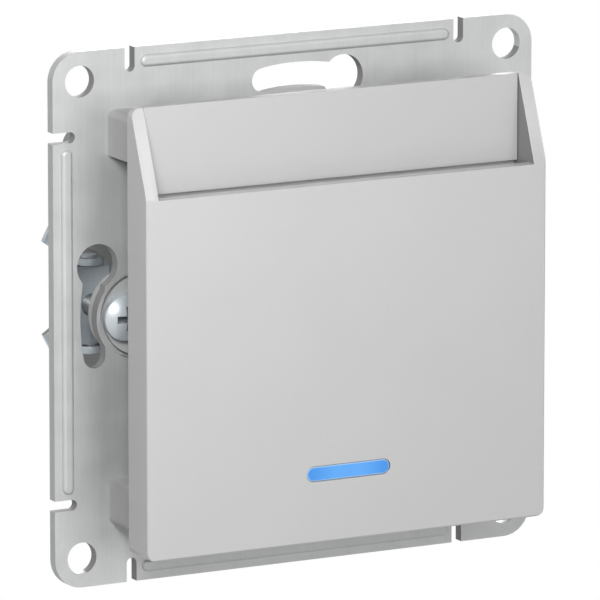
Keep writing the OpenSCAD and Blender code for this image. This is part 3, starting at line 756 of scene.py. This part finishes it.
def body_of(node: str) -> str:
    """Return the name of the body that a CAD node belongs to."""
    bodies = frame["record"]["behaviour"]["bodies"]
    return next(body for body, nodes in bodies.items() if node in nodes)


def slot_of(node: str) -> str:
    """Return the record's material slot of a CAD node."""
    return next(p["material_slot"] for p in frame["record"]["subparts"] if p["node"] == node)


def add_object(name: str, data: bpy.types.ID) -> bpy.types.Object:
    """Add an object to the scene.

    Args:
        name: Name of the object.
        data: Its mesh, lamp or camera.

    Returns:
        The new object.
    """
    item = bpy.data.objects.new(name, data)
    bpy.context.scene.collection.objects.link(item)
    return item


class Piece:
    """A mesh in the making, in metres in the part's frame."""

    def __init__(self, name: str) -> None:
        """Start with an empty mesh under the finished piece's name."""
        self.name = name
        self.mesh = bmesh.new()

    @classmethod
    def copied(cls, name: str, node: str, merge: float = MERGE) -> "Piece":
        """Start from a merged copy of a node's mesh, with its flat faces joined.

        Args:
            name: Name of the finished piece.
            node: Name of the CAD node.
            merge: Points closer than this become one, in millimetres.

        Returns:
            The new piece.
        """
        piece = cls(name)
        piece.mesh.from_mesh(frame["nodes"][node].data)
        bmesh.ops.remove_doubles(piece.mesh, verts=piece.mesh.verts, dist=merge * MM)
        bmesh.ops.dissolve_limit(
            piece.mesh,
            angle_limit=math.radians(FLAT_ANGLE),
            verts=piece.mesh.verts,
            edges=piece.mesh.edges,
        )
        return piece

    def soften(
        self, width: float, segments: int = SEGMENTS, chosen: Optional[EdgeTest] = None
    ) -> "Piece":
        """Round off the sharp edges.

        Args:
            width: Width of the rounding in millimetres.
            segments: Faces across the rounding.
            chosen: Test that an edge has to pass.

        Returns:
            The piece itself.
        """
        limit = math.radians(SHARP_ANGLE)
        edges = [
            edge
            for edge in self.mesh.edges
            if edge.is_manifold
            and edge.calc_face_angle(0.0) > limit
            and (chosen is None or chosen(edge))
        ]
        bmesh.ops.bevel(
            self.mesh,
            geom=edges,
            offset=width * MM,
            offset_type="OFFSET",
            segments=segments,
            profile=0.5,
            affect="EDGES",
            clamp_overlap=True,
            material=-1,
        )
        return self

    def mark(self, name: str, chosen: FaceTest) -> "Piece":
        """Mark some of the faces for a finish.

        Args:
            name: Name of the mark.
            chosen: Test that a face has to pass.

        Returns:
            The piece itself.
        """
        layer = self.mesh.loops.layers.float.new(name)
        self.mesh.normal_update()
        for face in self.mesh.faces:
            if chosen(face):
                for loop in face.loops:
                    loop[layer] = 1.0
        return self

    def cut(self, axis: Axis, place: float) -> "Piece":
        """Cut the mesh by a plane, keep what is below it and close the cut.

        Args:
            axis: Direction of the plane's normal.
            place: Place of the plane along the axis, in metres.

        Returns:
            The piece itself.
        """
        result = bmesh.ops.bisect_plane(
            self.mesh,
            geom=[*self.mesh.verts, *self.mesh.edges, *self.mesh.faces],
            plane_co=axis.vector * place,
            plane_no=axis.vector,
            clear_outer=True,
        )
        rim = [item for item in result["geom_cut"] if isinstance(item, bmesh.types.BMEdge)]
        bmesh.ops.holes_fill(self.mesh, edges=rim)
        return self

    def rod(self, centre: Vector, axis: Axis, length: float, radius: float, tip: float) -> None:
        """Add a straight rod that can taper towards its end.

        Args:
            centre: Middle of the rod, in metres.
            axis: Direction of the rod.
            length: Its length in metres.
            radius: Radius at its start in metres.
            tip: Radius at its end in metres.
        """
        turn = Axis.UP.vector.rotation_difference(axis.vector).to_matrix().to_4x4()
        bmesh.ops.create_cone(
            self.mesh,
            cap_ends=True,
            segments=ROD_SIDES,
            radius1=radius,
            radius2=tip,
            depth=length,
            matrix=Matrix.Translation(centre) @ turn,
        )

    def coil(
        self,
        section: list[Vector],
        centre: Vector,
        axis: Axis,
        pitch: float,
        turns: float,
        steps: int,
    ) -> None:
        """Add a closed section swept along a helix.

        Args:
            section: Corners of the section at the start, in metres.
            centre: A point on the helix's axis.
            axis: Direction of the helix.
            pitch: Rise of one turn in metres.
            turns: Number of turns.
            steps: Steps in one turn.
        """
        corners = [self.mesh.verts.new(point) for point in section]
        face = self.mesh.faces.new(corners)
        bmesh.ops.spin(
            self.mesh,
            geom=[*corners, *face.edges, face],
            cent=centre,
            axis=axis.vector,
            dvec=axis.vector * (pitch / steps),
            angle=2 * math.pi * turns,
            steps=round(turns * steps),
            use_merge=False,
        )

    def settle(self, slot: str, finish: Finish, *nodes: str) -> bpy.types.Object:
        """Make the object and dress it.

        Args:
            slot: The record's material slot; not used.
            finish: The finish that it gets.
            nodes: Names of the CAD nodes that it stands for.

        Returns:
            The finished object.
        """
        data = bpy.data.meshes.new(self.name)
        bmesh.ops.recalc_face_normals(self.mesh, faces=self.mesh.faces)
        for face in self.mesh.faces:
            face.smooth = True
        self.mesh.to_mesh(data)
        self.mesh.free()
        data.set_sharp_from_angle(angle=math.radians(SHADE_ANGLE))
        data.materials.append(finish.material())
        item = add_object(self.name, data)
        weighted = item.modifiers.new("even_shading", "WEIGHTED_NORMAL")
        weighted.keep_sharp = True
        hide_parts(*nodes)
        LOG.info("%s has %d faces", self.name, len(data.polygons))
        return item


class SubAssembly:
    """What all sub-assemblies have in common. Edges and other sizes are in millimetres."""

    def clad(self, node: str, finish: Finish, piece: Piece) -> None:
        """Finish a piece that stands for one CAD node, and let it ride on the node's body."""
        item = piece.settle(slot_of(node), finish, node)
        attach(item, body_of(node))

    def ease(
        self, node: str, name: str, finish: Finish, edge: float, segments: int = SEGMENTS
    ) -> None:
        """Stand in for a CAD node with a named copy that has its sharp edges rounded off."""
        self.clad(node, finish, Piece.copied(name, node).soften(edge, segments))

    def dress(self, node: str, finish: Finish) -> None:
        """Give a CAD node a finish and leave its shape as it is.

        Args:
            node: Name of the CAD node.
            finish: The finish that it gets.
        """
        for holder in frame["nodes"][node].material_slots:
            holder.material = finish.material()
        LOG.info("%s keeps its solid, with %s", node, finish.name)


@dataclass
class FrontCover(SubAssembly):
    """The pull-off cover with its card mouth and lit window."""

    edge: float = 0.16
    window_edge: float = 0.22
    wall_slope: float = 0.8

    def is_inside(self, face: bmesh.types.BMFace) -> bool:
        """Tell whether a face is an inner side of the cover, which gets painted shade."""
        inward = -face.normal.x * math.copysign(1.0, face.calc_center_median().x)
        return inward > self.wall_slope

    def build(self) -> None:
        """Make the cover and the light guide in its window."""
        cover = Piece.copied("front_cover_shell", "front_cover")
        # The cover's inner sides are marked for painted shade.
        cover.soften(self.edge, FINE_SEGMENTS).mark(INSIDE_SHADE_MARK, self.is_inside)
        self.clad("front_cover", COVER_LACQUER, cover)
        self.ease("light_guide", "window_lens", WINDOW_BLUE, self.window_edge, FINE_SEGMENTS)


@dataclass
class CardPocket(SubAssembly):
    """The card guide, the carrier behind it and the carrier's screws."""

    guide_edge: float = 0.05
    carrier_edge: float = 0.14
    screw_edge: float = 0.06

    def build(self) -> None:
        """Make the guide, the carrier and its screws."""
        self.ease("card_guide", "card_guide_plate", GUIDE_PLASTIC, self.guide_edge)
        self.ease("carrier_frame", "carrier_body", CARRIER_PLASTIC, self.carrier_edge)
        self.ease("carrier_screws", "carrier_screw_set", SCREW_ZINC, self.screw_edge)


@dataclass
class MountingPlate(SubAssembly):
    """The punched and beaded mounting plate."""

    front: float = -1.5
    bead_front: float = -1.95
    bead_round: float = 0.46
    bead_segments: int = 6
    edge: float = 0.1
    merge: float = 0.06
    outline: float = 35.0
    corner_reach: float = 64.5
    wall_slope: float = 0.5

    def on_bead(self, edge: bmesh.types.BMEdge) -> bool:
        """Tell whether both ends of an edge are on the top of a bead."""
        return all(vert.co.y < self.bead_front * MM for vert in edge.verts)

    def off_bead(self, edge: bmesh.types.BMEdge) -> bool:
        """Tell whether no face at an edge rises above the sheet's front, as a bead's does."""
        lowest = min(vert.co.y for face in edge.link_faces for vert in face.verts)
        return lowest > (self.front - self.edge / 2) * MM

    def is_steel_shaded(self, face: bmesh.types.BMFace) -> bool:
        """Tell whether a face is the wall of a punched hole, slot or notch, which is painted
        darker: partly its cut steel, mostly painted shade.

        Args:
            face: The face to test.

        Returns:
            Whether it stands across the sheet, away from the sheet's outline.
        """
        middle = face.calc_center_median() / MM
        inside = max(abs(middle.x), abs(middle.z)) < self.outline
        inside = inside and abs(middle.x) + abs(middle.z) < self.corner_reach
        behind = middle.y > self.front
        return inside and behind and abs(face.normal.y) < self.wall_slope

    def build(self) -> None:
        """Make the plate with rounded beads, eased edges and hole walls painted darker, partly as
        cut steel and partly as painted shade.
        """
        plate = Piece.copied("mounting_plate_sheet", "mounting_plate", self.merge)
        plate.soften(self.bead_round, self.bead_segments, self.on_bead)
        # The walls of the holes and slots get painted shade, partly as the darker cut steel.
        plate.soften(self.edge, chosen=self.off_bead).mark(STEEL_SHADE_MARK, self.is_steel_shaded)
        self.clad("mounting_plate", PLATE_ZINC, plate)


@dataclass
class Housing(SubAssembly):
    """The rear housing with its cover and screws."""

    edge: float = 0.2
    screw_edge: float = 0.06

    def build(self) -> None:
        """Make the housing, the rear cover and the cover's screws."""
        self.ease("housing", "housing_shell", HOUSING_PLASTIC, self.edge)
        self.ease("rear_cover", "rear_lid", HOUSING_PLASTIC, self.edge)
        self.ease("rear_cover_screws", "rear_screw_set", SCREW_ZINC, self.screw_edge)


@dataclass
class ThreadedScrew(SubAssembly):
    """A machine screw with a cut thread.

    The flank, the crest and the lead are parts of the pitch. The root and the point are parts
    of the core's radius.
    """

    axis: Axis
    head: float
    radius: float
    finish: Finish = SCREW_ZINC
    tip: float = 0.7
    edge: float = 0.05
    depth: float = 0.28
    pitch: float = 0.5
    flank: float = 0.45
    crest: float = 0.08
    lead: float = 0.6
    root: float = 0.97
    point: float = 0.6
    overlap: float = 0.1
    steps: int = 20
    recess_start: float = 0.3
    recess_reach: float = 1.15

    def build(self, node: str, name: str) -> None:
        """Make one screw from its node's head and a new threaded shaft.

        Args:
            node: Name of the CAD node.
            name: Name of the finished piece.
        """
        low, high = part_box(node)
        middle = (low + high) / 2
        start = low[self.axis.value] + self.head * MM
        screw = Piece.copied(name, node).cut(self.axis, start).soften(self.edge)
        self.add_shaft(screw, middle, start, high[self.axis.value])
        # The thread and the head's recess get painted shade.
        screw.mark(THREAD_SHADE_MARK, lambda face: self.is_thread_shaded(face, middle, start))
        self.clad(node, self.finish, screw)

    def is_thread_shaded(self, face: bmesh.types.BMFace, middle: Vector, start: float) -> bool:
        """Tell whether a face is on the thread or in the head's recess, which get painted shade.

        Args:
            face: The face to test.
            middle: A point on the screw's axis.
            start: Place of the head's back along the axis, in metres.

        Returns:
            Whether it gets painted shade.
        """
        place = face.calc_center_median()
        along = place[self.axis.value]
        out = place - middle
        out[self.axis.value] = 0.0
        recess = start - self.head * MM * (1 - self.recess_start)
        in_recess = along > recess and out.length < self.radius * self.recess_reach * MM
        return along > start or in_recess

    def add_shaft(self, screw: Piece, middle: Vector, start: float, end: float) -> None:
        """Add the shaft's core, its tapered tip and the thread.

        Args:
            screw: The piece to add to.
            middle: A point on the screw's axis.
            start: Place of the head's back along the axis, in metres.
            end: Place of the tip along the axis, in metres.
        """
        along = self.axis.vector
        foot = middle - along * middle[self.axis.value]
        core = (self.radius - self.depth) * MM
        taper = end - self.tip * MM
        sunk = start - self.overlap * MM
        screw.rod(foot + along * (sunk + taper) / 2, self.axis, taper - sunk, core, core)
        thin = core * self.point
        screw.rod(foot + along * (taper + end) / 2, self.axis, end - taper, core, thin)
        pitch = self.pitch * MM
        first = start + pitch * self.lead
        flank, crest = pitch * self.flank, pitch * self.crest
        root, reach = core * self.root, self.radius * MM
        section = [
            foot + Axis.RIGHT.vector * out + along * (first + rise)
            for out, rise in ((root, -flank), (reach, -crest), (reach, crest), (root, flank))
        ]
        turns = math.floor((taper - first - flank) / pitch * self.steps) / self.steps
        screw.coil(section, foot, self.axis, pitch, turns, self.steps)


@dataclass
class ClawFixing(SubAssembly):
    """One side's claw with its nut and screw."""

    side: Side
    edge: float = 0.1
    head: float = 2.0
    shaft: float = 1.5
    merge: float = 0.04
    prong_start: float = 31.5
    wall_slope: float = 0.8

    def is_steel_shaded(self, face: bmesh.types.BMFace) -> bool:
        """Tell whether a face of the claw's arms faces up or down and isn't on a prong; it gets
        painted shade.
        """
        on_arm = abs(face.calc_center_median().x) < self.prong_start * MM
        return on_arm and abs(face.normal.z) > self.wall_slope

    def build(self) -> None:
        """Make the claw, the nut and the screw."""
        name = f"{self.side.value}_claw"
        claw = Piece.copied(f"{name}_sheet", name, self.merge).soften(self.edge)
        # The claw's arms get painted shade on their upper and lower faces.
        claw.mark(STEEL_SHADE_MARK, self.is_steel_shaded)
        self.clad(name, CLAW_ZINC, claw)
        self.ease(f"{name}_nut", f"{name}_block", NUT_ZINC, self.edge)
        screw = ThreadedScrew(Axis.INTO_WALL, self.head, self.shaft, CLAW_SCREW_ZINC)
        screw.build(f"{name}_screw", f"{name}_thread")


@dataclass
class Terminals(SubAssembly):
    """The four wire terminals."""

    count: int = 4
    bar_edge: float = 0.1
    cage_edge: float = 0.12
    head: float = 1.7
    shaft: float = 1.5
    tip: float = 0.5

    def build(self) -> None:
        """Make each terminal's busbar, cage and screw."""
        screw = ThreadedScrew(Axis.UP, self.head, self.shaft, tip=self.tip)
        for number in range(1, self.count + 1):
            self.ease(f"busbar_{number}", f"bar_{number}", TERMINAL_BRASS, self.bar_edge)
            cage = f"terminal_cage_{number}"
            self.ease(cage, f"cage_{number}", TERMINAL_BRASS, self.cage_edge)
            screw.build(f"terminal_screw_{number}", f"clamp_screw_{number}")


@dataclass
class Electronics(SubAssembly):
    """The circuit board and what is soldered to it."""

    relay_edge: float = 0.3
    film_edge: float = 0.25
    switch_edge: float = 0.15

    def build(self) -> None:
        """Make the cased parts and dress the rest."""
        self.ease("relay", "relay_case", RELAY_PLASTIC, self.relay_edge, FINE_SEGMENTS)
        self.ease("film_capacitor", "film_block", FILM_PLASTIC, self.film_edge, FINE_SEGMENTS)
        self.ease("switch_body", "switch_case", BLACK_PLASTIC, self.switch_edge)
        self.dress("circuit_board", BOARD_MASK)
        self.dress("smoothing_capacitor", CAN_SLEEVE)
        self.dress("resistors", RESISTOR_COAT)
        self.dress("lamp", LAMP_RESIN)


@dataclass
class CardLever(SubAssembly):
    """The lever that the card presses, its pin, plunger and return spring."""

    lever_edge: float = 0.15
    plunger_edge: float = 0.2
    pin_edge: float = 0.2
    seat_edge: float = 0.08
    wire: float = 0.45
    turns: int = 6
    wire_sides: int = 12
    steps: int = 36

    def build(self) -> None:
        """Make the lever, the plunger, the pin, the spring and its seat."""
        self.ease("card_lever", "lever_arm", WHITE_PLASTIC, self.lever_edge)
        plunger = "switch_plunger"
        self.ease(plunger, "plunger_button", RED_PLASTIC, self.plunger_edge, FINE_SEGMENTS)
        self.ease("lever_pin", "pivot_pin", PIN_STEEL, self.pin_edge, FINE_SEGMENTS)
        self.ease("spring_seat", "spring_cup", WHITE_PLASTIC, self.seat_edge)
        self.build_spring()

    def build_spring(self) -> None:
        """Make the wound spring."""
        low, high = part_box("lever_spring")
        middle = (low + high) / 2
        radius = self.wire / 2 * MM
        reach = (high.x - low.x) / 2 - radius
        length = high.y - low.y - 2 * radius
        centre = Vector((middle.x, low.y + radius, middle.z))
        section = []
        for number in range(self.wire_sides):
            angle = 2 * math.pi * number / self.wire_sides
            offset = Vector((math.cos(angle), math.sin(angle), 0)) * radius
            section.append(centre + Vector((reach, 0, 0)) + offset)
        spring = Piece("return_spring")
        pitch = length / self.turns
        spring.coil(section, centre, Axis.INTO_WALL, pitch, self.turns, self.steps)
        item = spring.settle(slot_of("lever_spring"), SPRING_STEEL, "lever_spring")
        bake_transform(item)


@dataclass(frozen=True)
class SoftBox:
    """One soft studio lamp, in metres and watts."""

    name: str
    place: tuple[float, float, float]
    size: float
    power: float
    aim: tuple[float, float, float] = (0.0, -0.005, 0.0)

    def light(self) -> None:
        """Add the lamp, turned towards its aim and hidden from the camera."""
        data = bpy.data.lights.new(self.name, "AREA")
        data.shape = "SQUARE"
        data.size = self.size
        data.energy = self.power
        lamp = add_object(self.name, data)
        lamp.location = self.place
        way = Vector(self.aim) - Vector(self.place)
        lamp.rotation_euler = way.to_track_quat("-Z", "Y").to_euler()
        lamp.visible_camera = False
        LOG.info("lamp %s at %s", self.name, self.place)


@dataclass
class Studio:
    """The camera, the lamps, the world and the floor, in metres and degrees."""

    lens: float = 493.95
    sensor: float = 36.0
    clip_near: float = 0.01
    clip_far: float = 30.0
    camera_place: tuple[float, float, float] = (-0.49859, -0.93976, 0.21421)
    camera_tilt: float = 78.593
    camera_turn: float = -28.017
    floor_height: float = -0.4
    floor_half: float = 4.0
    floor_cells: int = 4
    floor_colour: Colour = paint(238, 238, 238)
    shadow_near: float = 0.3
    shadow_far: float = 0.6
    shadow_share: float = 0.4
    ambient: float = 0.08
    lamps: tuple[SoftBox, ...] = (
        SoftBox("key_lamp", (-0.14, -0.18, 0.12), 0.08, 0.4),
        SoftBox("front_lamp", (0.1, -0.9, 0.15), 0.45, 2.35),
        SoftBox("rear_lamp", (0.35, 0.8, 0.12), 0.5, 5.5),
    )

    def set_camera(self) -> None:
        """Add the camera at the photograph's viewing angle."""
        data = bpy.data.cameras.new("main_camera")
        data.lens = self.lens
        data.sensor_width = self.sensor
        data.clip_start = self.clip_near
        data.clip_end = self.clip_far
        camera = add_object("main_camera", data)
        camera.location = self.camera_place
        tilt, turn = math.radians(self.camera_tilt), math.radians(self.camera_turn)
        camera.rotation_euler = (tilt, 0.0, turn)
        bpy.context.scene.camera = camera
        bpy.context.scene.view_settings.view_transform = "Standard"

    def seen_directly(self, sheet: NodeSheet) -> Term:
        """Return one for rays that see the background itself, and zero for light.

        Args:
            sheet: The sheet to add the nodes to.

        Returns:
            The mask as a term.
        """
        path = "ShaderNodeLightPath"
        seen = sheet.add(path, output="Is Camera Ray") + sheet.add(path, output="Is Glossy Ray")
        return (seen + sheet.add(path, output="Is Transmission Ray")).at_most(1.0)

    def set_world(self) -> None:
        """Make the world white to the eye and dim as a light."""
        world = bpy.data.worlds.new("studio_world")
        bpy.context.scene.world = world
        world.use_nodes = True
        sheet = NodeSheet(world.node_tree)
        kind = "ShaderNodeBackground"
        dim = sheet.add(kind, {}, {"Color": WHITE, "Strength": self.ambient})
        shown = sheet.add(kind, {}, {"Color": WHITE, "Strength": 1.0})
        share = self.seen_directly(sheet)
        mixed = sheet.add("ShaderNodeMixShader", {}, {0: share, 1: dim, 2: shown})
        sheet.add("ShaderNodeOutputWorld", {}, {"Surface": mixed})

    def floor_material(self) -> bpy.types.Material:
        """Make the floor's material, with a shadow near the part and white further off.

        Returns:
            The material with its nodes.
        """
        material = bpy.data.materials.new("studio_floor_white")
        material.use_nodes = True
        sheet = NodeSheet(material.node_tree)
        right = sheet.along(Axis.RIGHT) * MM
        back = sheet.along(Axis.INTO_WALL) * MM
        distance = (right * right + back * back) ** 0.5
        near = 1 - distance.step(self.shadow_near, self.shadow_far)
        share = (1 - near * self.shadow_share) * self.seen_directly(sheet)
        matt = sheet.add("ShaderNodeBsdfDiffuse", {}, {"Color": self.floor_colour})
        shown = sheet.add("ShaderNodeEmission", {}, {"Color": WHITE, "Strength": 1.0})
        mixed = sheet.add("ShaderNodeMixShader", {}, {0: share, 1: matt, 2: shown})
        sheet.add("ShaderNodeOutputMaterial", {}, {"Surface": mixed})
        return material

    def lay_floor(self) -> None:
        """Lay the pale floor under the part."""
        mesh = bmesh.new()
        bmesh.ops.create_grid(
            mesh,
            x_segments=self.floor_cells,
            y_segments=self.floor_cells,
            size=self.floor_half,
            matrix=Matrix.Translation((0.0, 0.0, self.floor_height)),
        )
        data = bpy.data.meshes.new("studio_floor")
        mesh.to_mesh(data)
        mesh.free()
        data.materials.append(self.floor_material())
        floor = add_object("studio_floor", data)

    def build(self) -> None:
        """Set the camera, the world, the floor and the lamps."""
        self.set_camera()
        self.set_world()
        self.lay_floor()
        for lamp in self.lamps:
            lamp.light()


def main() -> None:
    """Build the studio and every sub-assembly in order."""
    logging.basicConfig(level=logging.INFO, format="%(name)s: %(message)s")
    Studio().build()
    for assembly in (
        MountingPlate(),
        Housing(),
        CardPocket(),
        FrontCover(),
        Electronics(),
        CardLever(),
        ClawFixing(Side.LEFT),
        ClawFixing(Side.RIGHT),
        Terminals(),
    ):
        assembly.build()


if __name__ == "__main__":
    main()
